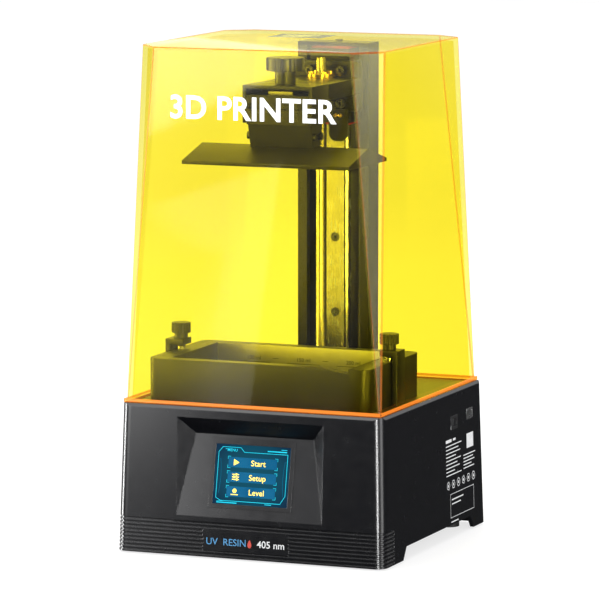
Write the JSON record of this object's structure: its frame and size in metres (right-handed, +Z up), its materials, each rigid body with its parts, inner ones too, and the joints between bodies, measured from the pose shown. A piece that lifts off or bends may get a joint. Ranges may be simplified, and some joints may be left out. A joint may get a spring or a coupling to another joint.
{
  "type": "resin printer",
  "caption": "Desktop resin printer: drafted casing with tilted touch screen, rail-guided lift with hanging build plate, clamped vat over a masking display, and lift-off clear hood.",
  "frame": {"origin": "centre of the footprint, on the plane the rubber feet stand on", "axes": "+X to the right side with the power switch, -Y to the front with the touch screen, +Z up along the lift column"},
  "size_m": [0.222, 0.2254, 0.391],
  "materials": {
    "casing": "fine satin",
    "black_steel": "satin powder coat",
    "zinc_steel": "bright zinc",
    "black_screw": "black oxide",
    "feet": "matte",
    "display": "polished",
    "touch_glass": "polished, lit",
    "board": "solder mask",
    "chips": "moulded",
    "lamps": "clear resin",
    "aluminium": "fine blasted",
    "black_aluminium": "black anodised",
    "black_plastic": "moulded",
    "reflector": "polished",
    "ribbon": "flat cable",
    "ground_steel": "ground",
    "brass": "turned",
    "wiper": "matte",
    "rocker_plastic": "moulded",
    "film": "clear film",
    "hood": "polished clear sheet"
  },
  "bodies": {
    "base": {"base_casing": "casing", "base_cover": "black_steel", "rubber_feet": "feet", "cover_screws": "zinc_steel", "top_plate": "black_steel", "mask_lcd": "display", "light_shroud": "reflector", "uv_board": "board", "uv_leds": "lamps", "heat_sink": "aluminium", "fan_frame": "black_plastic", "mainboard": "board", "board_posts": "zinc_steel", "board_parts": "chips", "power_jack": "black_plastic", "usb_socket": "zinc_steel", "switch_frame": "black_plastic", "screen_bezel": "black_plastic", "touch_screen": "touch_glass", "screen_board": "board", "screen_ribbon": "ribbon", "z_motor": "black_steel", "motor_mount": "zinc_steel", "column": "black_steel", "column_cap": "black_steel", "cap_screw": "black_screw", "rail": "ground_steel", "rail_screws": "black_screw", "limit_sensor": "black_plastic", "left_hook": "black_aluminium", "right_hook": "black_aluminium"},
    "lead_screw": {"motor_shaft": "ground_steel", "coupler": "aluminium", "lead_screw": "ground_steel"},
    "fan": {"fan_rotor": "black_plastic"},
    "rocker": {"power_rocker": "rocker_plastic"},
    "carriage": {"carriage_block": "ground_steel", "carriage_ends": "black_plastic", "carriage_seals": "wiper", "lift_arm": "black_aluminium", "arm_screws": "black_screw", "screw_nut": "brass", "nut_screws": "zinc_steel", "limit_flag": "black_steel", "flag_screws": "brass", "clamp_housing": "black_aluminium"},
    "press": {"clamp_pad": "ground_steel"},
    "knob": {"clamp_knob": "black_plastic"},
    "platform": {"build_plate": "black_aluminium", "plate_head": "black_aluminium", "level_screws": "black_screw"},
    "vat": {"vat": "black_aluminium", "film_frame": "black_aluminium", "release_film": "film", "film_screws": "zinc_steel"},
    "left_press": {"left_pad": "ground_steel"},
    "left_knob": {"left_thumb": "black_aluminium"},
    "right_press": {"right_pad": "ground_steel"},
    "right_knob": {"right_thumb": "black_aluminium"},
    "hood": {"hood": "hood"}
  },
  "joints": [
    {"name": "lift", "type": "slide", "parent": "base", "child": "carriage", "axis": [0, 0, 1], "range_m": [-0.1828, 0]},
    {"name": "lead_screw_turn", "type": "hinge", "parent": "base", "child": "lead_screw", "pos_m": [0, 0.0362, 0.2], "axis": [0, 0, 1], "range_deg": [-1, 8228]},
    {"name": "plate_release", "type": "slide", "parent": "carriage", "child": "platform", "axis": [0, -1, 0], "range_m": [0, 0.02]},
    {"name": "press_slide", "type": "slide", "parent": "carriage", "child": "press", "axis": [0, 0, 1], "range_m": [0, 0.001]},
    {"name": "knob_turn", "type": "hinge", "parent": "press", "child": "knob", "pos_m": [0, -0.037, 0.37], "axis": [0, 0, 1], "range_deg": [-1, 361]},
    {"name": "vat_slide", "type": "slide", "parent": "base", "child": "vat", "axis": [0, -1, 0], "range_m": [0, 0.001]},
    {"name": "left_press_slide", "type": "slide", "parent": "base", "child": "left_press", "axis": [0, 0, 1], "range_m": [0, 0.001]},
    {"name": "left_thumb_turn", "type": "hinge", "parent": "left_press", "child": "left_knob", "pos_m": [-0.087, -0.0395, 0.166], "axis": [0, 0, 1], "range_deg": [-1, 361]},
    {"name": "right_press_slide", "type": "slide", "parent": "base", "child": "right_press", "axis": [0, 0, 1], "range_m": [0, 0.001]},
    {"name": "right_thumb_turn", "type": "hinge", "parent": "right_press", "child": "right_knob", "pos_m": [0.087, -0.0395, 0.166], "axis": [0, 0, 1], "range_deg": [-1, 361]},
    {"name": "hood_lift", "type": "slide", "parent": "base", "child": "hood", "axis": [0, 0, 1], "range_m": [0, 0.275]},
    {"name": "power_switch", "type": "hinge", "parent": "base", "child": "rocker", "pos_m": [0.1064, 0.0467, 0.0908], "axis": [0, 0, -1], "range_deg": [0, 16]},
    {"name": "fan_spin", "type": "hinge", "parent": "base", "child": "fan", "pos_m": [-0.055, 0.1, 0.056], "axis": [0, 1, 0], "continuous": true}
  ],
  "couplings": [
    {"joint": "lead_screw_turn", "follows": "lift", "rad_per_m": -785.4},
    {"joint": "knob_turn", "follows": "press_slide", "rad_per_m": 6283.2},
    {"joint": "left_thumb_turn", "follows": "left_press_slide", "rad_per_m": 6283.2},
    {"joint": "right_thumb_turn", "follows": "right_press_slide", "rad_per_m": 6283.2}
  ]
}
